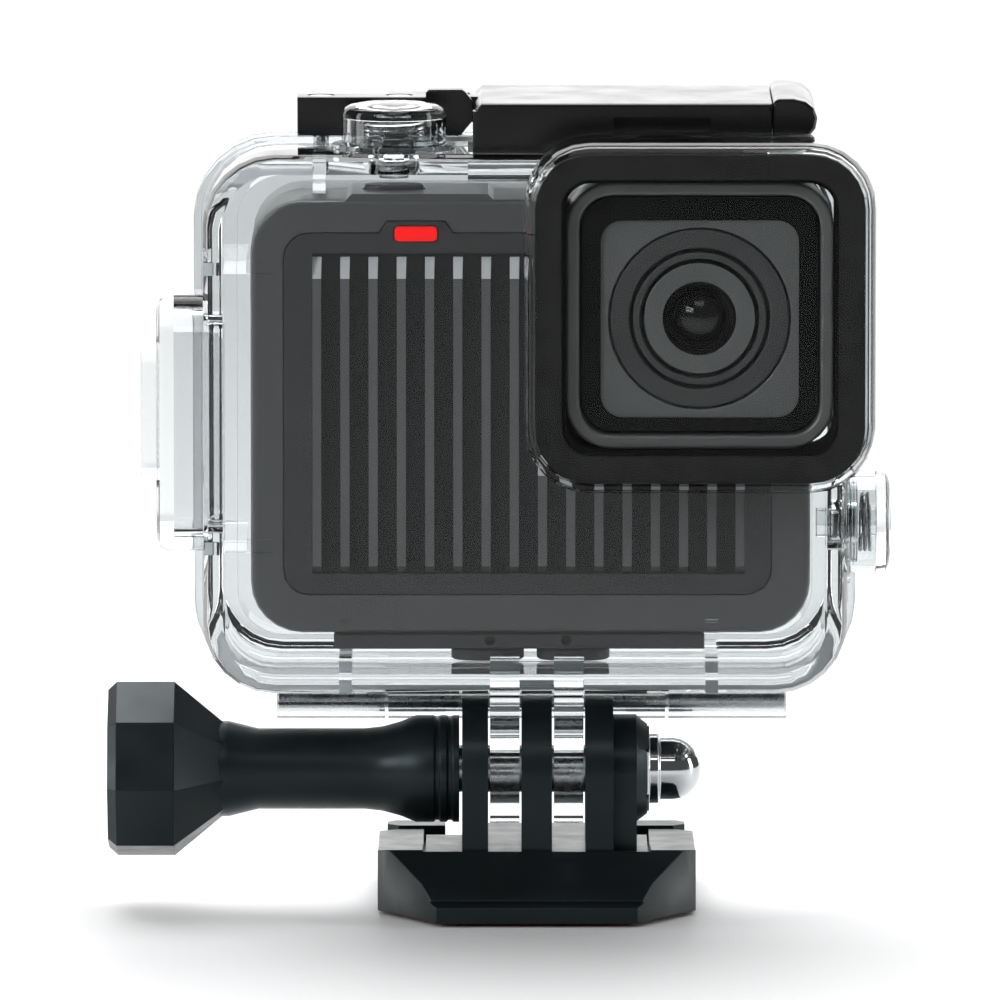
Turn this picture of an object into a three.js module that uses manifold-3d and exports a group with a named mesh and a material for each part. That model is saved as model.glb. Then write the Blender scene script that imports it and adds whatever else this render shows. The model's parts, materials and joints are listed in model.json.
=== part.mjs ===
// An action camera in its clear dive housing, on a quick-release mount.
// Millimetres, +Z up, the lens looks along -Y. The origin is under the pivot bolt, on the surface the mount stands on.
import * as THREE from "three";
import { mergeVertices } from "three/addons/utils/BufferGeometryUtils.js";
import Module from "manifold-3d";

const wasm = await Module();
wasm.setup();

// ---- Driving dimensions ----
const pivotHeight = 14.1;
const fingerThickness = 3.0;
const fingerPitch = 6.5;
const prongRadius = 7.5;
const fingerRadius = 5.6;

const housingWidth = 67.6;
const housingHeight = 56.0;
const housingX = -1.2;
const housingZ = 50.6;
const housingCorner = 8.2;
const housingWall = 2.0;
const frontFace = -12.6;
const partingFront = 8.0;
const partingBack = 8.4;
const doorBack = 17.5;

const lensBoxSize = 35.4;
const lensBoxFront = -21;
const paneSize = 33.2;
const paneCorner = 5.5;
const lensX = 17.6;
const lensZ = 11.7;

const bodyWidth = 56.7;
const bodyHeight = 44.1;
const bodyDepth = 22;
const bodyCorner = 5.2;

const hingeY = 8.2;
const hingeZ = -30.5;
const hingeRadius = 1.9;

const plungerRadius = 5.3;
const fit = 0.2;

// ---- Materials ----
const plastic = (color, roughness = 0.45) => new THREE.MeshStandardMaterial({ color, roughness, metalness: 0 });
const metal = (color, roughness = 0.3) => new THREE.MeshStandardMaterial({ color, roughness, metalness: 1 });
const clear = (color) =>
  new THREE.MeshStandardMaterial({ color, roughness: 0.05, metalness: 0, transparent: true, opacity: 0.35 });
const finish = {
  black: plastic(0x151719, 0.4),
  latch: plastic(0x17181a, 0.25),
  body: plastic(0x4a4c4e, 0.55),
  panel: plastic(0x3c3e40, 0.5),
  button: plastic(0x2a2c2e, 0.5),
  red: plastic(0xff0a04, 0.3),
  rubber: plastic(0x1b1b1b, 0.8),
  silicone: plastic(0xdfe3e5, 0.6),
  pad: plastic(0x8c1d18, 0.9),
  board: plastic(0x14502e, 0.6),
  battery: plastic(0x2b2d33, 0.5),
  clear: clear(0xeaf1f3),
  glass: clear(0xd9e2e6),
  steel: metal(0xc9ccce, 0.25),
  aluminium: metal(0x9a9da0, 0.4),
};

// ---- Geometry helpers ----

/** A closed geometry as a solid that can be cut and joined. */
function solid(geometry) {
  const source = geometry.index ? geometry.toNonIndexed() : geometry;
  const bare = new THREE.BufferGeometry().setAttribute("position", source.getAttribute("position"));
  const merged = mergeVertices(bare, 1e-4);
  return new wasm.Manifold(
    new wasm.Mesh({
      numProp: 3,
      vertProperties: merged.attributes.position.array,
      triVerts: new Uint32Array(merged.index.array),
    }),
  );
}

/** A solid's surface as a geometry. */
function surface(made) {
  const mesh = made.getMesh();
  const geometry = new THREE.BufferGeometry()
    .setAttribute("position", new THREE.BufferAttribute(new Float32Array(mesh.vertProperties), 3))
    .setIndex(new THREE.BufferAttribute(new Uint32Array(mesh.triVerts), 1));
  geometry.computeVertexNormals();
  return geometry;
}

const join = (...geometries) => surface(geometries.map(solid).reduce((a, b) => a.add(b)));
const cut = (geometry, ...tools) => surface(tools.map(solid).reduce((a, b) => a.subtract(b), solid(geometry)));
const common = (a, b) => surface(solid(a).intersect(solid(b)));

function box(x0, x1, y0, y1, z0, z1) {
  return new THREE.BoxGeometry(x1 - x0, y1 - y0, z1 - z0).translate((x0 + x1) / 2, (y0 + y1) / 2, (z0 + z1) / 2);
}

function roundedRect(width, height, radius, x = 0, y = 0) {
  const [w, h] = [width / 2 - radius, height / 2 - radius];
  const shape = new THREE.Shape();
  shape.absarc(x + w, y + h, radius, 0, Math.PI / 2);
  shape.absarc(x - w, y + h, radius, Math.PI / 2, Math.PI);
  shape.absarc(x - w, y - h, radius, Math.PI, 1.5 * Math.PI);
  shape.absarc(x + w, y - h, radius, 1.5 * Math.PI, 2 * Math.PI);
  return shape;
}

const outline = (points) => new THREE.Shape(points.map(([x, y]) => new THREE.Vector2(x, y)));

/** A shape extruded along its own normal from 0, with both edges rounded by bevel. */
function extruded(shape, depth, bevel = 0, curveSegments = 3) {
  return new THREE.ExtrudeGeometry(shape, {
    depth: depth - 2 * bevel,
    bevelEnabled: bevel > 0,
    bevelThickness: bevel,
    bevelSize: bevel,
    bevelOffset: -bevel,
    bevelSegments: 2,
    curveSegments,
  }).translate(0, 0, bevel);
}

/** An (x, z) shape from front to back along Y. */
const slabY = (shape, front, back, bevel, segments) =>
  extruded(shape, back - front, bevel, segments).rotateX(Math.PI / 2).translate(0, back, 0);

/** An (y, z) shape from left to right along X. */
function slabX(shape, left, right, bevel, segments) {
  const basis = new THREE.Matrix4().makeBasis(
    new THREE.Vector3(0, 1, 0),
    new THREE.Vector3(0, 0, 1),
    new THREE.Vector3(1, 0, 0),
  );
  return extruded(shape, right - left, bevel, segments).applyMatrix4(basis).translate(left, 0, 0);
}

/** An (x, y) shape from bottom to top along Z. */
const slabZ = (shape, bottom, top, bevel, segments) =>
  extruded(shape, top - bottom, bevel, segments).translate(0, 0, bottom);

const turnTo = {
  x: (geometry) => geometry.rotateZ(-Math.PI / 2),
  y: (geometry) => geometry,
  z: (geometry) => geometry.rotateX(Math.PI / 2),
};

/** A round rod along an axis, between two places on it. */
function rod(axis, radius, from, to, segments = 24) {
  const geometry = new THREE.CylinderGeometry(radius, radius, to - from, segments);
  return turnTo[axis](geometry.translate(0, (from + to) / 2, 0));
}

/** A solid of revolution about an axis from [radius, place] points, listed upwards along the outside. */
function turned(axis, points, segments = 24) {
  const profile = points.map(([r, h]) => new THREE.Vector2(r, h));
  return turnTo[axis](new THREE.LatheGeometry(profile, segments));
}

/** A tube-shaped ring about an axis. */
const ring = (axis, inner, outer, from, to, segments = 28) =>
  turned(axis, [[inner, from], [outer, from], [outer, to], [inner, to], [inner, from]], segments);

/** A rounded rectangular frame along Y, between two sizes. */
function frameY(width, height, radius, inset, front, back, segments = 3) {
  const shape = roundedRect(width, height, radius);
  shape.holes.push(new THREE.Path(roundedRect(width - 2 * inset, height - 2 * inset, radius - inset).getPoints(segments)));
  return slabY(shape, front, back, 0, segments);
}

function place(group, name, geometry, material, position = [0, 0, 0], rotation = [0, 0, 0]) {
  const mesh = new THREE.Mesh(geometry, material);
  mesh.name = name;
  mesh.position.set(...position);
  mesh.rotation.set(...rotation);
  group.add(mesh);
  return mesh;
}

function groupAt(parent, x, y, z) {
  const group = new THREE.Group();
  group.position.set(x, y, z);
  parent.add(group);
  return group;
}

const part = new THREE.Group();

// ---- Quick-release mount ----
const baseHalf = 16.2;
const baseFront = -15.8;
const baseBack = 22;
const channelFront = -8.2;

/** The mount's plan: chamfered front corners and small rear ones, pulled in by inset. */
function basePlan(inset) {
  const half = baseHalf - inset;
  const [front, back] = [baseFront + inset, baseBack - inset];
  const right = [[10.2 - inset * 0.6, front], [half, -6], [half, back - 2], [half - 2, back]];
  const left = right.map(([x, y]) => [-x, y]).reverse();
  return outline([...right, ...left]);
}

function mountBase() {
  const side = outline([
    [baseFront, 0.3], [baseBack, 0.3], [baseBack, 4.9], [-1, 5.8], [-4, 6.3],
    [-8, 6.8], [-13.3, 4.1], [-15.0, 2.5], [-14.7, 2.3], [baseFront, 1.9],
  ]);
  const blank = common(slabZ(basePlan(0), 0, 7), slabX(side, -17, 17));
  return cut(
    blank,
    slabZ(basePlan(1.2), -1, 1.1),
    box(-13.2, 13.2, channelFront, 23, 2.0, 4.0),
    box(-11.6, 11.6, channelFront, 23, 3.9, 7),
  );
}

/** One upright plate round the pivot, from the deck up, of half-width radius. */
function uprightPlate(radius, left, right) {
  const shape = new THREE.Shape();
  shape.moveTo(-radius, 4);
  shape.lineTo(radius, 4);
  shape.absarc(0, pivotHeight, radius, 0, Math.PI);
  return slabX(shape, left, right, 0, 6);
}

function buckle() {
  const gap = (fingerPitch - fingerThickness) / 2;
  const deck = join(
    box(-12.9, 12.9, -7.9, 6.5, 2.3, 3.7),
    box(-11.3, 11.3, -7.9, 6.5, 2.3, 6.4),
    box(-7.6, 7.6, 6, 21.6, 2.3, 5.6),
    uprightPlate(prongRadius, -gap + fit, gap - fit),
    uprightPlate(prongRadius, -7.6, -gap - fingerThickness - fit),
    uprightPlate(prongRadius, gap + fingerThickness + fit, 7.8),
    uprightPlate(5.6, 7.6, 10.2),
    turned("x", [[0, 10], [5.6, 10], [4.6, 11.3], [0, 11.3]]).translate(0, 0, pivotHeight),
  );
  const bore = rod("x", 2.7, -9, 12).translate(0, 0, pivotHeight);
  const hexPocket = rod("x", 4.75, 8.4, 12, 6).translate(0, 0, pivotHeight);
  return cut(deck, bore, hexPocket);
}

function releaseClip() {
  return join(
    box(9.4, 12.8, 6.9, 22.8, 2.4, 3.6),
    slabZ(outline([[9.4, 22.5], [14.2, 22.5], [15.4, 23.6], [15.4, 25.6], [14.6, 26.6], [9.4, 26.6]]), 2.4, 5.2),
  );
}

place(part, "adhesive_pad", slabZ(basePlan(1.5), 0, 0.85), finish.pad);
place(part, "mount_base", mountBase(), finish.black);
place(part, "quick_release_buckle", buckle(), finish.black);
place(part, "release_clip_right", releaseClip(), finish.black);
place(part, "release_clip_left", releaseClip(), finish.black).scale.x = -1;

// ---- Pivot: thumb screw and cap nut ----
const pivot = groupAt(part, 0, 0, pivotHeight);

function thumbScrewKnob() {
  const shank = turned("x", [
    [0, -37.4], [4.9, -37.4], [4.9, -31.4], [4.5, -29.8], [4.15, -28.4], [4.15, -17.5], [4.35, -15.7],
    [4.85, -13.9], [5.5, -12.3], [5.5, -10.5], [5.3, -10.3], [5.3, -10.0], [5.5, -9.8], [5.5, -9.2],
    [5.3, -9.0], [5.3, -8.7], [5.5, -8.5], [5.5, -7.9], [2.6, -7.9], [2.6, -28], [0, -28],
  ]);
  const grip = rod("x", 9.15, -42.8, -36.9, 8);
  const rim = turnTo.x(new THREE.CylinderGeometry(9.15, 8.3, 0.9, 8).translate(0, -43.25, 0));
  const shoulder = turnTo.x(new THREE.CylinderGeometry(4.8, 9.15, 5.1, 8).translate(0, -34.4, 0));
  const solidHead = join(grip, rim, shoulder).rotateX(THREE.MathUtils.degToRad(7));
  return cut(join(shank, solidHead), rod("x", 5.4, -45, -41.5));
}

function capNut() {
  const dome = Array.from({ length: 7 }, (_, i) => {
    const angle = (i * Math.PI) / 12;
    return [3.15 * Math.cos(angle), 13.9 + 2.9 * Math.sin(angle)];
  });
  dome[dome.length - 1][0] = 0;
  const cap = turned("x", [[0, 11], [3.55, 11], [3.55, 12.4], [3.15, 12.6], ...dome]);
  return cut(join(rod("x", 4.4, 8.8, 11.5, 6), cap), rod("x", 2.55, 8, 14.4));
}

place(pivot, "thumb_screw_knob", thumbScrewKnob(), finish.black);
place(
  pivot,
  "pivot_bolt",
  turned("x", [[0, -27.6], [2.4, -27.6], [2.4, 13.6], [1.9, 14.1], [0, 14.1]], 28),
  finish.steel,
);
place(pivot, "cap_nut", capNut(), finish.steel);

// ---- Housing ----
const housing = groupAt(part, housingX, 0, housingZ);
const pivotX = -housingX;
const pivotZ = pivotHeight - housingZ;
const innerHalfWidth = housingWidth / 2 - 1.2 - housingWall;
const innerHalfHeight = housingHeight / 2 - 0.6 - housingWall;
const topWall = housingHeight / 2 - 0.6;
const sideWall = housingWidth / 2 - 1.2;
const shutterAt = [-13.3, -3];
const modeAt = [-2, -10.9];

/** A plunger's seat in the wall, about local Z: what is added to the shell and what is cut from it. */
const plungerSeat = {
  add: () => join(rod("z", 6.3, -housingWall, 0.5), rod("z", 4.1, -housingWall, 1.2)),
  cut: () => join(ring("z", 4.1, 5.6, -1, 3), rod("z", 1.7, -4, 3), rod("z", 2.6, -4, -0.4)),
};
const onTop = (geometry) => geometry.translate(shutterAt[0], shutterAt[1], topWall);
const onSide = (geometry) => geometry.rotateY(Math.PI / 2).translate(sideWall, modeAt[0], modeAt[1]);

/** The clear finger, with the buttress that carries it up the shell's front. */
function mountFinger(left) {
  const shape = new THREE.Shape();
  shape.absarc(0, pivotZ, fingerRadius, Math.PI, 2 * Math.PI);
  [[6.4, -28.4], [6.4, -26.2], [-11.2, -26.2], [-11.2, -23.3], [-13.4, -23.3], [-13.8, -23.8], [-13.8, -26.4],
    [-8.4, -29.6], [-6.8, -33]].forEach(([y, z]) => shape.lineTo(y, z));
  return slabX(shape, pivotX + left, pivotX + left + fingerThickness, 0, 6);
}

/** A locating rib: a blade over the camera's face, proud of the shell's front, and a deeper one beside the camera. */
function rib(along, at, faceFrom, faceTo, deepFrom, deepTo) {
  const half = 0.65;
  const blade = (from, to, front, back) =>
    along === "z"
      ? box(at - half, at + half, front, back, from, to)
      : box(from, to, front, back, at - half, at + half);
  return join(blade(faceFrom, faceTo, -13.0, -9.4), blade(deepFrom, deepTo, -10.9, 7));
}

function ribs() {
  return [
    rib("z", -20.8, 20.0, 27.2, 23.4, 25.8),
    rib("z", -18.2, -27.2, -19.9, -25.8, -23.9),
    rib("z", 18.9, -27.2, -19.9, -25.8, -23.9),
    rib("x", 16.0, -32.5, -25.6, -31, -28.2),
    rib("x", -12.4, -32.5, -25.6, -31, -28.2),
  ];
}

/** The grip pocket on the left wall: two stepped pads, hollow behind. */
function sidePocket() {
  const outer = slabX(roundedRect(12, 26.2, 3.4, -2.5, -0.4), -37.4, -31, 1.2);
  const pad = slabX(roundedRect(7.6, 15.4, 2.4, -2.5, 0.4), -39.1, -36, 0.8);
  return join(outer, pad);
}

function knuckle(left, right, front, back) {
  return join(
    rod("x", hingeRadius, left, right, 16).translate(0, hingeY, hingeZ),
    box(left, right, front, back, hingeZ, -27),
  );
}

const hingeBore = () => rod("x", 1.0, -30, 30, 12).translate(0, hingeY, hingeZ);

function frontShell() {
  const gap = (fingerPitch - fingerThickness) / 2;
  const lensBox = roundedRect(lensBoxSize, lensBoxSize, 6.6, lensX, lensZ);
  const blank = join(
    slabY(roundedRect(2 * sideWall, 2 * topWall, housingCorner - 1), frontFace, 6.4, 1.8),
    slabY(roundedRect(housingWidth, housingHeight, housingCorner), 4.4, partingFront, 0.5),
    slabY(lensBox, lensBoxFront, -8.2, 1.6),
    sidePocket(),
  );
  const hollow = cut(
    blank,
    slabY(roundedRect(2 * innerHalfWidth, 2 * innerHalfHeight, housingCorner - 3), frontFace + housingWall, 9),
    slabY(roundedRect(lensBoxSize - 3.2, lensBoxSize - 3.2, 5.0, lensX, lensZ), -19.2, -9.0, 0, 3),
    slabY(roundedRect(paneSize + 0.5, paneSize + 0.5, paneCorner + 0.25, lensX, lensZ), -22, -18.9),
    slabX(roundedRect(8.4, 22.4, 2.2, -2.5, -0.4), -35.6, -30, 0, 2),
  );
  const fitted = join(
    hollow,
    box(-5.8, 30.9, -7.8, 7.4, 24.4, 26.3),
    mountFinger(-gap - fingerThickness),
    mountFinger(gap),
    box(pivotX - gap - 0.2, pivotX + gap + 0.2, -13.0, -11.2, -26.4, -23.9),
    knuckle(-14, 14.4, 6.3, partingFront),
    onTop(plungerSeat.add()),
    onSide(plungerSeat.add()),
    ...ribs(),
  );
  const saddle = box(-5.8, 34.5, -7.8, 4.4, 26.1, 29);
  const catchTab = box(11.4, 16.4, -7.2, -5.0, 25.8, 28.9);
  const screwHoles = [-20.8, -12.8].map((x) => rod("z", 0.8, 26, 29, 8).translate(x, 6.2, 0));
  const bolt = rod("x", 2.75, -6, 8).translate(0, 0, pivotZ);
  return cut(
    join(cut(fitted, saddle), catchTab),
    onTop(plungerSeat.cut()),
    onSide(plungerSeat.cut()),
    bolt,
    hingeBore(),
    ...screwHoles,
  );
}

function rearDoor() {
  const blank = join(
    slabY(roundedRect(housingWidth, housingHeight, housingCorner), partingBack, 11.2, 0.5),
    slabY(roundedRect(63, 51.4, 6.6), 9.4, doorBack, 1.8),
    knuckle(-25.4, -14.3, partingBack, 10.1),
    knuckle(14.7, 26.8, partingBack, 10.1),
    box(19.2, 25.2, 10.4, 14.2, 23.5, 27.7),
  );
  return cut(
    blank,
    slabY(roundedRect(58.8, 47.2, 4.6), 7, 15.5, 0, 4),
    frameY(housingWidth - 1.6, housingHeight - 1.6, housingCorner - 0.8, 1.4, 8, 9.8),
    hingeBore(),
  );
}

place(housing, "housing_front_shell", frontShell(), finish.clear);
place(housing, "housing_rear_door", rearDoor(), finish.clear);
place(
  housing,
  "door_gasket",
  frameY(housingWidth - 1.9, housingHeight - 1.9, housingCorner - 0.95, 1.1, 8.15, 9.6),
  finish.silicone,
);
place(housing, "hinge_pin", rod("x", 0.8, -25.3, 26.7, 12), finish.steel, [0, hingeY, hingeZ]);

// The lens port: a pane in the box's front, a seal, and a black frame round the camera's lens.
const port = groupAt(housing, lensX, 0, lensZ);
place(port, "lens_port_glass", slabY(roundedRect(paneSize, paneSize, paneCorner), -20.9, -19.8, 0.2), finish.glass);
place(port, "port_seal", frameY(paneSize, paneSize, paneCorner, 2.65, -19.6, -19.15), finish.rubber);
place(port, "port_frame", frameY(31.6, 31.6, 4.8, 2.22, -18.7, -9.3), finish.black);

// ---- Housing plungers ----
class Helix extends THREE.Curve {
  constructor(radius, rise, turns) {
    super();
    Object.assign(this, { radius, rise, turns });
  }

  getPoint(t, target = new THREE.Vector3()) {
    const angle = 2 * Math.PI * this.turns * t;
    return target.set(this.radius * Math.cos(angle), this.radius * Math.sin(angle), this.rise * t);
  }
}

function coilSpring(radius, wire, rise, turns) {
  const section = new THREE.Shape();
  section.absarc(0, 0, wire / 2, 0, 2 * Math.PI);
  return new THREE.ExtrudeGeometry(section, {
    extrudePath: new Helix(radius, rise, turns),
    steps: 12 * turns,
    curveSegments: 2,
    bevelEnabled: false,
  });
}

/** The cap with its stem, in one moulding. */
function plunger() {
  return turned("z", [
    [0, -3], [1.5, -3], [1.5, 3.1], [4.5, 3.1], [4.5, 0.4], [5.2, 0.4], [plungerRadius, 0.7], [plungerRadius, 3.6],
    [5.05, 4.1], [4.4, 4.45], [3.0, 4.65], [0, 4.75],
  ]);
}

function torus(radius, tube) {
  return new THREE.TorusGeometry(radius, tube, 6, 18);
}

function addPlunger(name, position, rotation) {
  const group = groupAt(housing, ...position);
  group.rotation.set(...rotation);
  place(group, `${name}_plunger`, plunger(), finish.clear);
  place(group, `${name}_spring`, coilSpring(2.9, 0.4, 0.95, 2), finish.steel, [0, 0, 1.55]);
  place(group, `${name}_seal`, torus(2.02, 0.44), finish.rubber, [0, 0, -0.95]);
  place(group, `${name}_clip`, ring("z", 1.62, 2.3, -1.95, -1.62, 24), finish.steel);
}

addPlunger("shutter", [shutterAt[0], shutterAt[1], topWall], [0, 0, 0]);
addPlunger("mode", [sideWall, modeAt[0], modeAt[1]], [0, Math.PI / 2, 0]);

// ---- Latch ----
const latch = groupAt(housing, -7.6, 0, 30.55);
const leverFront = -6.4;
const leverBack = 15.6;

function latchBracket() {
  const frontEar = [
    [-2.5, -2.5], [1.0, -2.5], [2.25, -1.0], [2.2, 1.1], [1.55, 1.95], [1.2, 2.2], [-2.2, 2.2], [-2.5, 1.9],
  ];
  const rearEar = [[-2.5, -2.5], [1.0, -2.5], [2.25, -1.0], [2.2, 1.1], [1.9, 1.4], [-2.5, 1.4]];
  const blank = join(
    slabY(outline([[-15.6, -2.5], [-1.95, -2.5], [-1.95, 1.45], [-15.6, 1.45]]), 3.6, 7.8, 0.2),
    box(-6.2, -1.95, 7.6, 10.9, -2.5, 1.4),
    slabY(outline(frontEar), 3.6, 5.5),
    slabY(outline(rearEar), 9.4, 10.9),
  );
  const tools = [-13.2, -5.2].flatMap((x) => [
    rod("z", 0.8, -3, 3, 8).translate(x, 6.2, 0),
    rod("z", 1.4, 0.7, 3, 16).translate(x, 6.2, 0),
  ]);
  return cut(blank, rod("y", 0.85, 4.3, 12, 16), ...tools);
}

function latchLever() {
  const deck = slabY(
    outline([[2.6, -1.7], [32.6, -1.7], [32.6, 1.65], [3.2, 1.65], [2.6, 1.05]]),
    leverFront,
    leverBack,
    0.3,
  );
  const skirt = slabY(
    outline([[2.3, -3.7], [3.0, -4.3], [25.0, -4.3], [32.6, -2.1], [32.6, 0.9], [2.3, 0.9]]),
    leverFront,
    -4.8,
    0.2,
  );
  const claw = join(box(26.3, 32.5, 14.2, 17, -0.75, 1.0), box(26.3, 32.5, 15.7, 17, -3.25, 1.0));
  const tongue = join(rod("y", 1.7, 5.8, 9.1, 28), box(0, 4.5, 5.8, 9.1, -1.3, 1.3));
  const windowBack = box(15.8, 27.2, -4.4, -3.2, -3.9, -0.5);
  return cut(
    join(cut(deck, box(4.4, 31.2, -4.8, 14.2, -3, -0.75)), skirt, claw, tongue, windowBack),
    box(16.6, 26.4, -8, -4.5, -5, 0.25),
    box(30.5, 34, 2.7, 6.3, -3, -0.75),
    rod("y", 0.85, 3, 12, 16),
  );
}

function latchLock() {
  const cap = slabY(
    outline([
      [32.7, -2.1], [34.8, -2.3], [36.2, -1.9], [37.0, -0.9], [37.2, 0.2], [36.8, 1.2], [36.0, 1.85], [34.8, 2.15],
      [33.2, 2.15], [32.7, 1.7],
    ]),
    leverFront,
    leverBack,
    0.3,
  );
  return join(cap, box(29.2, 33.2, 3.0, 6.0, -1.65, -1.05));
}

place(latch, "latch_bracket", latchBracket(), finish.latch);
place(latch, "latch_lever", latchLever(), finish.latch);
place(latch, "latch_lock", latchLock(), finish.latch);
place(latch, "latch_pin", rod("y", 0.7, 4.5, 10.8, 20), finish.steel);
[-13.2, -5.2].forEach((x, i) => {
  const screw = join(rod("z", 1.2, 0.8, 1.4, 16), rod("z", 0.6, -3.8, 1.0, 8));
  place(latch, `bracket_screw_${i + 1}`, cut(screw, box(-0.9, 0.9, -0.18, 0.18, 1.1, 2)), finish.steel, [x, 6.2, 0]);
});

// ---- Camera ----
const camera = groupAt(housing, 0.55, 2, 0.65);
const cameraFront = -bodyDepth / 2;
const cameraBack = bodyDepth / 2;
const shellSplit = 1.0;
const opticX = lensX - 0.55;
const opticZ = lensZ - 0.65;
const shutterX = shutterAt[0] - 0.55;
const modeZ = modeAt[1] - 0.65;
const bodyShape = (inset) => roundedRect(bodyWidth - 2 * inset, bodyHeight - 2 * inset, bodyCorner - inset);
const pill = (width, height, x, y) => roundedRect(width, height, Math.min(width, height) / 2 - 0.05, x, y);
const doorCut = () => box(-29, -26.6, -6.2, 7.7, -14.2, 15.2);

/** The ribbed panel's outline, with a step at the top for the status light, grown by gap. */
function panelOutline(gap) {
  const [left, right, bottom, top] = [-24.95 - gap, 24.35 + gap, -18.05 - gap, 18.65 + gap];
  const radius = 2.6;
  const shape = new THREE.Shape();
  shape.absarc(right - radius, top - radius, radius, 0, Math.PI / 2);
  [[-7.9 + gap, top], [-8.7 + gap, top + 1.2], [-14.5 - gap, top + 1.2], [-15.3 - gap, top]].forEach(([x, z]) =>
    shape.lineTo(x, z),
  );
  shape.absarc(left + radius, top - radius, radius, Math.PI / 2, Math.PI);
  shape.absarc(left + radius, bottom + radius, radius, Math.PI, 1.5 * Math.PI);
  shape.absarc(right - radius, bottom + radius, radius, 1.5 * Math.PI, 2 * Math.PI);
  return shape;
}

function cameraFrontShell() {
  const plateau = slabY(outline([[-19.6, 21], [-2.8, 21], [-4.3, 22.65], [-18.1, 22.65]]), -10.75, shellSplit);
  return cut(
    join(slabY(bodyShape(0), cameraFront, shellSplit + 2, 0.7, 3), plateau),
    slabY(bodyShape(1.5), -8.6, 4, 0, 4),
    box(-30, 30, shellSplit, 4, -30, 30),
    slabY(panelOutline(0.15), -12, -9.2, 0, 2),
    rod("y", 6.1, -12, -8).translate(opticX, 0, opticZ),
    slabZ(pill(6.5, 4.1, shutterX, -5), 19, 24),
    slabX(pill(4.1, 6.5, -4, modeZ), 26, 30),
    doorCut(),
  );
}

function finnedPanel() {
  const pitch = 2.86;
  const fieldTop = 16.65;
  const fieldBottom = -16.05;
  const fins = Array.from({ length: 16 }, (_, i) => {
    const x = -21.65 + i * pitch;
    const top = i < 8 ? fieldTop : -3.4;
    const side = outline([[-9.8, fieldBottom], [-10.95, fieldBottom + 0.8], [-10.95, top - 2.6], [-9.8, top]]);
    return slabX(side, x - 0.475, x + 0.475);
  });
  const field = join(
    box(-22.1, -0.4, -12, -10.0, fieldBottom, fieldTop),
    box(-1, 21.7, -12, -10.0, fieldBottom, -3.4),
  );
  return cut(
    join(cut(slabY(panelOutline(0), cameraFront, -9.35, 0, 2), field), ...fins),
    rod("y", 6.1, -12, -8).translate(opticX, 0, opticZ),
    slabY(roundedRect(4.6, 1.75, 0.6, -11.6, 18.6), -12, -10.1, 0, 2),
  );
}

function rearShell() {
  const screws = caseScrews.flatMap(([x, z]) => [
    rod("y", 0.75, 8, 12, 8).translate(x, 0, z),
    rod("y", 1.25, 10.3, 12, 16).translate(x, 0, z),
  ]);
  return cut(
    slabY(bodyShape(0), shellSplit - 2, cameraBack, 0.7, 3),
    box(-30, 30, -3, shellSplit + fit, -30, 30),
    slabY(bodyShape(1.5), -2, 9.3, 0, 4),
    slabY(roundedRect(46.4, 34.4, 2.2), 10.0, 12, 0, 2),
    doorCut(),
    ...screws,
  );
}

const caseScrews = [[25.3, 19], [-25.3, 19], [-25.3, -19], [25.3, -19]];

place(camera, "camera_front_shell", cameraFrontShell(), finish.body);
place(camera, "ribbed_front_panel", finnedPanel(), finish.panel);
place(camera, "status_light_lens", slabY(roundedRect(4.3, 1.45, 0.45, -11.6, 18.6), -11.2, -10.3, 0.1, 3), finish.red);
place(camera, "camera_rear_shell", rearShell(), finish.body);
place(camera, "rear_screen", slabY(roundedRect(46, 34, 2), 10.2, 11.05, 0.1, 2), finish.glass);
place(camera, "side_door", slabX(roundedRect(13.4, 29, 1.6, 0.75, 0.5), -28.35, -26.85, 0.3, 2), finish.body);
caseScrews.forEach(([x, z], i) => {
  const screw = join(rod("y", 1.05, 10.45, 10.95, 16), rod("y", 0.55, 9.4, 10.6, 8));
  place(camera, `case_screw_${i + 1}`, cut(screw, rod("y", 0.5, 10.7, 12, 6)), finish.steel, [x, 0, z]);
});
place(camera, "camera_shutter_button", slabZ(pill(6, 3.6, shutterX, -5), 20.9, 23.15, 0.25, 3), finish.button);
place(camera, "camera_mode_button", slabX(pill(3.6, 6, -4, modeZ), 26.4, 28.45, 0.2, 3), finish.button);

function cameraFoot() {
  const pinHoles = [-4.1, 3.65].map((x) => rod("y", 0.5, -11, -8, 10).translate(x, 0, -22.95));
  return cut(box(-19.95, 17.65, -10, 6, -23.75, -22.3), ...pinHoles);
}

place(camera, "camera_foot", cameraFoot(), finish.button);
[-4.35, 4.35].forEach((x, i) => {
  const finger = slabZ(roundedRect(7.4, 14, 2.4, x, -1.5), -25.2, -24.05, 0.15, 2);
  place(camera, `folded_finger_${i + 1}`, finger, finish.button);
});

// ---- Camera optics ----
const optics = groupAt(camera, opticX, 0, opticZ);
const lensDrop = -0.5;

function lensBezel() {
  const backPlate = cut(slabY(roundedRect(25, 25, 3.6), -12.9, -11.35, 0, 4), rod("y", 8.7, -14, -10));
  return join(frameY(27.0, 27.0, 4.6, 1.35, -18.6, -11.35), backPlate);
}

const dome = (radius, edge, apex, back) => {
  const steps = 4;
  const curve = Array.from({ length: steps + 1 }, (_, i) => {
    const r = (radius * i) / steps;
    return [r, apex + (edge - apex) * (i / steps) ** 2];
  });
  return turned("y", [...curve, [radius, back], [0, back]], 24);
};

place(optics, "lens_bezel", lensBezel(), finish.body);
place(optics, "lens_cover_glass", slabY(roundedRect(23.8, 23.8, 3.1), -18.3, -17.3, 0.1, 3), finish.glass);
const maskHole = slabY(roundedRect(20.0, 20.0, 2.2, 0, lensDrop), -18, -16, 0, 3);
place(optics, "lens_mask", cut(slabY(roundedRect(23.8, 23.8, 3.1), -17.1, -16.7, 0, 3), maskHole), finish.black);

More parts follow.
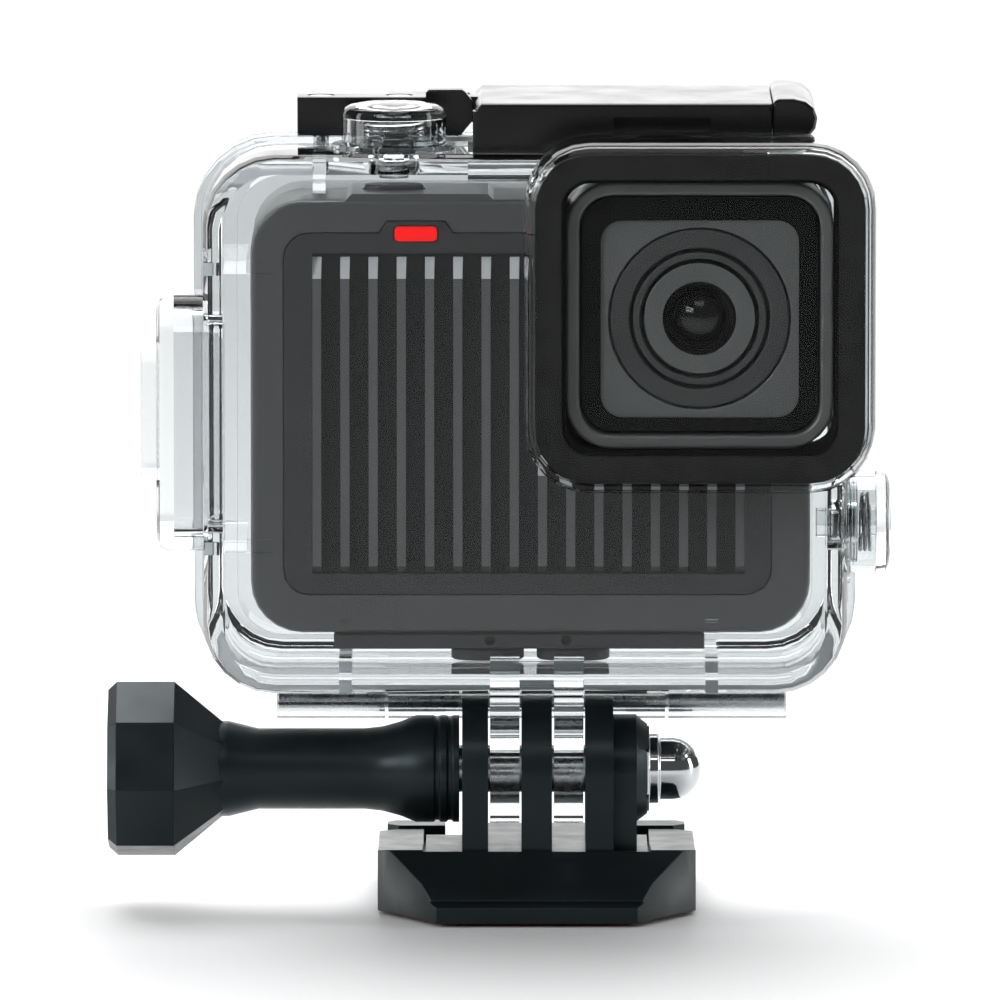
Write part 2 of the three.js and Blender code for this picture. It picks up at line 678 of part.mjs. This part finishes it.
// The lens sits a little below the middle of its bezel.
const lens = groupAt(optics, 0, 0, lensDrop);
place(
  lens,
  "lens_plate",
  cut(slabY(roundedRect(23.2, 23.2, 3.0), -16.5, -15.3, 0, 4), rod("y", 9.25, -17, -15, 36)),
  finish.body,
);
place(lens, "lens_ring_outer", ring("y", 7.15, 9.05, -16.4, -15.0, 36), finish.panel);
place(lens, "lens_ring_inner", ring("y", 6.05, 6.75, -16.4, -14.6, 36), finish.panel);
place(
  lens,
  "lens_barrel",
  turned("y", [
    [3.7, -16.3], [5.65, -16.3], [5.65, -13.2], [5.2, -13], [5.2, -6], [2.6, -6], [2.6, -14.3], [3.0, -14.3],
    [3.0, -15.3], [3.5, -15.5], [3.7, -16.3],
  ], 36),
  finish.black,
);
place(lens, "lens_front_element", dome(2.4, -14.9, -15.8, -13.2), finish.glass);
place(lens, "lens_rear_element", dome(2.3, -11.0, -11.8, -9.4), finish.glass);
place(lens, "image_sensor", box(-6.5, 6.5, -5.6, -4.5, -5.5, 5.5), finish.board);

// ---- Camera insides ----
place(camera, "main_board", box(-0.4, 25.4, 1.6, 2.8, -18.8, 18.8), finish.board);
place(camera, "battery", slabY(roundedRect(24.6, 36, 1.4, -13.9, 0), -2.2, 8.2, 0.4, 3), finish.battery);
place(camera, "heat_spreader", box(-26, 4.5, -8.2, -6.6, -18.5, 18.5), finish.aluminium);
place(camera, "speaker", rod("y", 5, 3.2, 6.4, 28), finish.black, [13, 0, -11]);

export default part;
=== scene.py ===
import json
import math

import bmesh
import bpy
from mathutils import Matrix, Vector

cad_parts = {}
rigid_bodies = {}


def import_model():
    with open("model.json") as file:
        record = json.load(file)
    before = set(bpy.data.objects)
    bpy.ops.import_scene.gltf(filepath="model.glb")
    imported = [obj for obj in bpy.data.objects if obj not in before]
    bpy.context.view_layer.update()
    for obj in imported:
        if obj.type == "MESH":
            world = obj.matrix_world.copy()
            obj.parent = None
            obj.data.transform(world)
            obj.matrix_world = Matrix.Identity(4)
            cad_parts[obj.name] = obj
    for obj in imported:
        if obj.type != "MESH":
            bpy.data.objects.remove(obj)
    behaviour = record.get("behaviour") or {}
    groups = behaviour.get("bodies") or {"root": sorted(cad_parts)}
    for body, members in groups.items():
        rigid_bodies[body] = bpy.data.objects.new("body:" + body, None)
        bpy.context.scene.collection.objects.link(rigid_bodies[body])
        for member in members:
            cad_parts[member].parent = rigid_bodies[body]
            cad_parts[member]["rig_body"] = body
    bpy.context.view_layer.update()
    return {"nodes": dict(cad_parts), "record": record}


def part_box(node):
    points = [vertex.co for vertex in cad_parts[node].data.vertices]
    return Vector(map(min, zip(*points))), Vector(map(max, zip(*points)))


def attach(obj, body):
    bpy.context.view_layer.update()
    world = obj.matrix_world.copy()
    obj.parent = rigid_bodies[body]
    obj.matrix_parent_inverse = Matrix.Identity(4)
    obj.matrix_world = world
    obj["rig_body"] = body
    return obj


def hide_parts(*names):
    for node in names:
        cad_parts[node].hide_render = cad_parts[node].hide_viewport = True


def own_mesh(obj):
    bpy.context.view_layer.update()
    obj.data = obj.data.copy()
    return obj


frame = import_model()
MM = 0.001
WELD = 2e-6  # metres
FLAT = 0.6  # degrees between faces that count as one
CREASE = 32  # degrees between faces that meet in an edge
BEVEL_SEGMENTS = 3


# ---- Materials ----
class Look:
    """One node material with a Principled shader, built up in steps."""

    def __init__(self, name, color, roughness, **sockets):
        self.material = bpy.data.materials.new(name)
        self.material.use_nodes = True
        self.tree = self.material.node_tree
        self.shader = self.tree.nodes["Principled BSDF"]
        self.set(self.shader, **{"Base Color": (*color, 1), "Roughness": roughness, **sockets})
        self.position = None

    @staticmethod
    def set(node, **values):
        for key, value in values.items():
            node.inputs[key].default_value = value

    def add(self, kind, **values):
        node = self.tree.nodes.new(kind)
        self.set(node, **values)
        return node

    def link(self, out, into):
        self.tree.links.new(out, into)

    def coordinates(self):
        if self.position is None:
            self.position = self.add("ShaderNodeTexCoord").outputs["Object"]
        return self.position

    def noise(self, scale, detail=3.0, roughness=0.55):
        node = self.add("ShaderNodeTexNoise", Scale=scale, Detail=detail, Roughness=roughness)
        self.link(self.coordinates(), node.inputs["Vector"])
        return node.outputs["Fac"]

    def ramp(self, source, low, high, start=0.35, end=0.65):
        node = self.add("ShaderNodeMapRange")
        self.set(node, **{"From Min": start, "From Max": end, "To Min": low, "To Max": high})
        self.link(source, node.inputs["Value"])
        return node.outputs["Result"]

    def vary_roughness(self, scale, low, high):
        self.link(self.ramp(self.noise(scale), low, high), self.shader.inputs["Roughness"])
        return self

    def vary_color(self, scale, first, second):
        mix = self.add("ShaderNodeMix")
        mix.data_type = "RGBA"
        for socket, value in (("A", first), ("B", second)):
            next(s for s in mix.inputs if s.name == socket and s.type == "RGBA").default_value = (*value, 1)
        self.link(self.ramp(self.noise(scale, 5.0), 0, 1), mix.inputs[0])
        self.link(next(s for s in mix.outputs if s.type == "RGBA"), self.shader.inputs["Base Color"])
        return self

    def grain(self, scale, strength, distance=0.00003, detail=2.0):
        bump = self.add("ShaderNodeBump", Strength=strength, Distance=distance)
        self.link(self.noise(scale, detail), bump.inputs["Height"])
        self.link(bump.outputs["Normal"], self.shader.inputs["Normal"])
        return self

    def lets_lamps_through(self, tint=(1, 1, 1)):
        """Rays from lamps pass, so what is behind the clear plastic is lit."""
        path = self.add("ShaderNodeLightPath")
        passing = self.add("ShaderNodeBsdfTransparent", Color=(*tint, 1))
        mix = self.add("ShaderNodeMixShader")
        self.link(path.outputs["Is Shadow Ray"], mix.inputs[0])
        self.link(self.shader.outputs[0], mix.inputs[1])
        self.link(passing.outputs[0], mix.inputs[2])
        self.link(mix.outputs[0], self.tree.nodes["Material Output"].inputs["Surface"])
        return self


CLEAR = {"Transmission Weight": 1.0, "IOR": 1.33}
BLUE_SHEEN = {"Specular IOR Level": 0.32, "Specular Tint": (0.75, 0.95, 1.0, 1)}
LIT_RED = {"Emission Strength": 0.65, "Emission Color": (1, 0.0, 0.0, 1), "Specular IOR Level": 0.1}
GLOSSY_COAT = {"Coat Weight": 1.0, "Coat Roughness": 0.02}
looks = {
    "black_plastic": Look("black_plastic", (0.007, 0.0095, 0.0105), 0.36, **BLUE_SHEEN)
    .vary_color(90, (0.006, 0.008, 0.009), (0.009, 0.012, 0.0135))
    .vary_roughness(240, 0.3, 0.4).grain(9000, 0.12),
    "matte_black": Look("matte_black", (0.004, 0.004, 0.0045), 0.8, **{"Specular IOR Level": 0.04})
    .vary_roughness(260, 0.74, 0.86).grain(9000, 0.04),
    "latch_plastic": Look("latch_plastic", (0.006, 0.006, 0.007), 0.2)
    .vary_roughness(160, 0.17, 0.25).grain(900, 0.03),
    # The grey tint is darker than the clear plastic is: it stands in for dark surroundings seen in the
    # walls, a painted shade.
    "clear_plastic": Look("clear_plastic", (0.74, 0.76, 0.765), 0.015, **CLEAR)
    .vary_roughness(120, 0.008, 0.03).lets_lamps_through((0.93, 0.94, 0.945)),
    "port_glass": Look("port_glass", (0.98, 0.99, 0.99), 0.004, **{**CLEAR, "IOR": 1.12})
    .vary_roughness(90, 0.002, 0.01).lets_lamps_through((0.97, 0.98, 0.98)),
    "optical_glass": Look("optical_glass", (0.004, 0.004, 0.005), 0.03, **{"IOR": 1.35})
    .vary_roughness(90, 0.02, 0.05),
    "camera_body": Look("camera_body", (0.066, 0.067, 0.068), 0.3, **{"Specular IOR Level": 0.4})
    .vary_color(120, (0.064, 0.065, 0.066), (0.068, 0.069, 0.07)).vary_roughness(300, 0.28, 0.31),
    # A near-black on the field between the ribs and on the ribs' sides is painted shade, where the recess
    # lies in shadow.
    "rib_field_painted_shade": Look("rib_field_painted_shade", (0.006, 0.006, 0.0065), 0.7, **{"Specular IOR Level": 0.1})
    .vary_color(120, (0.0055, 0.0055, 0.006), (0.007, 0.007, 0.0075)).vary_roughness(300, 0.65, 0.76),
    "camera_panel": Look("camera_panel", (0.024, 0.025, 0.026), 0.45, **{"Specular IOR Level": 0.35})
    .vary_color(120, (0.022, 0.0228, 0.0236), (0.027, 0.028, 0.029)).vary_roughness(300, 0.4, 0.5),
    # A lighter grey on the rib fronts is a painted highlight: the ribs are one moulding with the panel and
    # only catch more light on their edges.
    "rib_front_painted_highlight": Look("rib_front_painted_highlight", (0.085, 0.087, 0.089), 0.4)
    .vary_color(120, (0.08, 0.082, 0.084), (0.092, 0.094, 0.096)).vary_roughness(300, 0.34, 0.45),
    # A pale grey on the slanted top ends of the ribs is a painted highlight, where they face the light from
    # above.
    "rib_tip_painted_highlight": Look("rib_tip_painted_highlight", (0.6, 0.61, 0.62), 0.24)
    .vary_color(160, (0.55, 0.56, 0.57), (0.65, 0.66, 0.67)).vary_roughness(300, 0.24, 0.34),
    "camera_button": Look("camera_button", (0.02, 0.02, 0.021), 0.45)
    .vary_roughness(300, 0.4, 0.52).grain(6000, 0.3),
    "status_red": Look("status_red", (0.8, 0.001, 0.0), 0.35, **LIT_RED)
    .vary_roughness(400, 0.3, 0.4),
    "screen_glass": Look("screen_glass", (0.006, 0.006, 0.008), 0.06, **GLOSSY_COAT)
    .vary_roughness(60, 0.04, 0.09),
    "seal_rubber": Look("seal_rubber", (0.007, 0.007, 0.007), 0.8, **{"Specular IOR Level": 0.2})
    .vary_roughness(500, 0.65, 0.85).grain(4000, 0.4),
    "gasket_silicone": Look("gasket_silicone", (0.72, 0.75, 0.77), 0.5)
    .vary_roughness(400, 0.42, 0.6).grain(3000, 0.2),
    "adhesive_foam": Look("adhesive_foam", (0.25, 0.012, 0.012), 0.9)
    .vary_color(700, (0.22, 0.01, 0.01), (0.3, 0.016, 0.015)).grain(2500, 0.8, 0.0001),
    "steel": Look("steel", (0.62, 0.63, 0.64), 0.26, Metallic=1.0)
    .vary_roughness(700, 0.2, 0.34).grain(1500, 0.08),
    "chrome_nut": Look("chrome_nut", (0.6, 0.62, 0.63), 0.1, Metallic=1.0).vary_roughness(500, 0.05, 0.13),
    "aluminium_part": Look("aluminium_part", (0.2, 0.2, 0.205), 0.35, Metallic=1.0)
    .vary_roughness(600, 0.28, 0.42),
    "circuit_board": Look("circuit_board", (0.01, 0.09, 0.035), 0.4)
    .vary_color(900, (0.008, 0.07, 0.028), (0.012, 0.11, 0.045)).vary_roughness(400, 0.35, 0.5),
    "battery_case": Look("battery_case", (0.03, 0.032, 0.04), 0.5).vary_roughness(300, 0.42, 0.58),
}
slot_of = {entry["node"]: entry["material_slot"] for entry in frame["record"]["subparts"]}


# ---- Pieces ----
def finished(obj, slot, edge):
    """Shades a piece smooth between its creases and rounds the creases by edge, in millimetres."""
    mesh = obj.data
    work = bmesh.new()
    work.from_mesh(mesh)
    bmesh.ops.remove_doubles(work, verts=work.verts, dist=WELD)
    bmesh.ops.dissolve_limit(work, angle_limit=math.radians(FLAT), verts=work.verts, edges=work.edges)
    for face in work.faces:
        face.smooth = True
    for seam in work.edges:
        seam.smooth = not (len(seam.link_faces) == 2 and seam.calc_face_angle(0) > math.radians(CREASE))
    work.to_mesh(mesh)
    work.free()
    if edge:
        bevel = obj.modifiers.new("rounded_edges", "BEVEL")
        bevel.width = edge * MM
        bevel.segments = BEVEL_SEGMENTS
        bevel.limit_method = "ANGLE"
        bevel.angle_limit = math.radians(CREASE)
        bevel.use_clamp_overlap = True
        bevel.miter_outer = "MITER_ARC"
    weighted = obj.modifiers.new("flat_faces_stay_flat", "WEIGHTED_NORMAL")
    weighted.keep_sharp = True
    mesh.materials.clear()
    mesh.materials.append(looks[slot].material)


def refined(node, edge):
    """A copy of a CAD node with rounded edges and smooth shading, standing for it."""
    source = frame["nodes"][node]
    obj = bpy.data.objects.new(f"{node}_look", source.data.copy())
    bpy.context.scene.collection.objects.link(obj)
    finished(obj, slot_of[node], edge)
    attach(obj, source["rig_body"])
    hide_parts(node)
    return obj


EDGES = {  # millimetres, 0.1 where a piece isn't listed
    "mount_base": 0.3, "quick_release_buckle": 0.25, "thumb_screw_knob": 0.28,
    "latch_lever": 0.5, "latch_lock": 0.2, "latch_bracket": 0.2,
    "housing_front_shell": 0.18, "housing_rear_door": 0.18, "lens_bezel": 0.3,
    "camera_front_shell": 0.12, "ribbed_front_panel": 0.08, "door_gasket": 0.25,
    "shutter_spring": 0, "mode_spring": 0, "shutter_seal": 0, "mode_seal": 0,
}
pieces = {node: refined(node, EDGES.get(node, 0.1)) for node in frame["nodes"]}


def face_finish_and_painted_light(node, slot, chosen):
    """Gives the faces that chosen picks, by centre in millimetres and normal, another material: a real
    finish on the lens barrel front, painted highlights and painted shade on the ribbed panel.
    """
    mesh = pieces[node].data
    mesh.materials.append(looks[slot].material)
    for face in mesh.polygons:
        if chosen(face.center / MM, face.normal):
            face.material_index = len(mesh.materials) - 1


panel_low, panel_high = (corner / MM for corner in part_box("ribbed_front_panel"))
panel_front = panel_low.y
panel_edge = 2  # the field between the ribs starts this far inside the panel's sides
# The rib fronts get the painted highlight.
face_finish_and_painted_light(
    "ribbed_front_panel", "rib_front_painted_highlight",
    lambda at, normal: panel_front + 0.02 < at.y < panel_front + 0.8 and normal.y < -0.5,
)
# The field between the ribs and the ribs' sides get the painted shade.
face_finish_and_painted_light(
    "ribbed_front_panel", "rib_field_painted_shade",
    lambda at, normal: (normal.y < -0.9 and at.y > panel_front + 0.8)
    or (abs(normal.x) > 0.9 and panel_low.x + panel_edge < at.x < panel_high.x - panel_edge),
)
# The slanted top ends of the ribs get the painted highlight.
face_finish_and_painted_light("ribbed_front_panel", "rib_tip_painted_highlight", lambda at, normal: normal.y < -0.5 and normal.z > 0.2)
barrel_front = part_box("lens_barrel")[0].y / MM
face_finish_and_painted_light("lens_barrel", "camera_body", lambda at, normal: at.y < barrel_front + 0.02 and normal.y < -0.9)


def compressed(node):
    """Gives a coil spring's piece its own copy of the mesh."""
    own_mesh(pieces[node])


compressed("shutter_spring")
compressed("mode_spring")


# ---- Studio ----
def floor():
    bpy.ops.mesh.primitive_plane_add(size=6, location=(0, 0, -0.0001))
    plane = bpy.context.object
    plane.name = "floor"
    look = Look("floor", (0.93, 0.935, 0.94), 0.55)
    look.vary_roughness(3, 0.5, 0.6)
    plane.data.materials.append(look.material)


def softbox(name, location, target, size, power):
    light = bpy.data.lights.new(name, "AREA")
    light.shape = "RECTANGLE"
    light.size, light.size_y = size
    light.energy = power
    obj = bpy.data.objects.new(name, light)
    bpy.context.scene.collection.objects.link(obj)
    obj.location = location
    obj.rotation_euler = (Vector(target) - Vector(location)).to_track_quat("-Z", "Y").to_euler()


floor()
middle = (0, 0, 0.045)
softbox("overhead", (0.0, 0.22, 0.52), middle, (0.55, 0.4), 2.4)
softbox("high_key", (0.0, -0.55, 0.55), middle, (0.36, 0.2), 0.5)
softbox("front_key", (-0.7, -1.0, 0.5), middle, (0.5, 0.4), 4.6)
softbox("left_strip", (-0.6, -0.05, 0.12), middle, (0.12, 0.4), 1.2)
softbox("right_strip", (0.6, -0.05, 0.12), middle, (0.12, 0.4), 1.2)
softbox("back_wall", (0.0, 2.6, 0.75), (0, 0, 0.35), (4.6, 1.5), 37.0)
softbox("sweep", (0.0, 1.3, 1.6), (0, 1.2, 0), (3.0, 1.4), 28.0)

world = bpy.data.worlds.new("studio")
bpy.context.scene.world = world
world.use_nodes = True
world.node_tree.nodes["Background"].inputs["Color"].default_value = (1, 1, 1, 1)
world.node_tree.nodes["Background"].inputs["Strength"].default_value = 0.09

camera = bpy.data.cameras.new("camera")
camera.sensor_width = 36
camera.lens = 565
view = bpy.data.objects.new("camera", camera)
bpy.context.scene.collection.objects.link(view)
elevation = math.radians(6.5)
distance = 1.6
aim = Vector((-3.74, 0, 41.7)) * MM
back = Vector((0, -math.cos(elevation), math.sin(elevation)))
view.location = aim + back * distance
view.rotation_euler = (-back).to_track_quat("-Z", "Y").to_euler()
camera.clip_start, camera.clip_end = 0.02, 60
bpy.context.scene.camera = view
bpy.context.scene.view_settings.view_transform = "Standard"
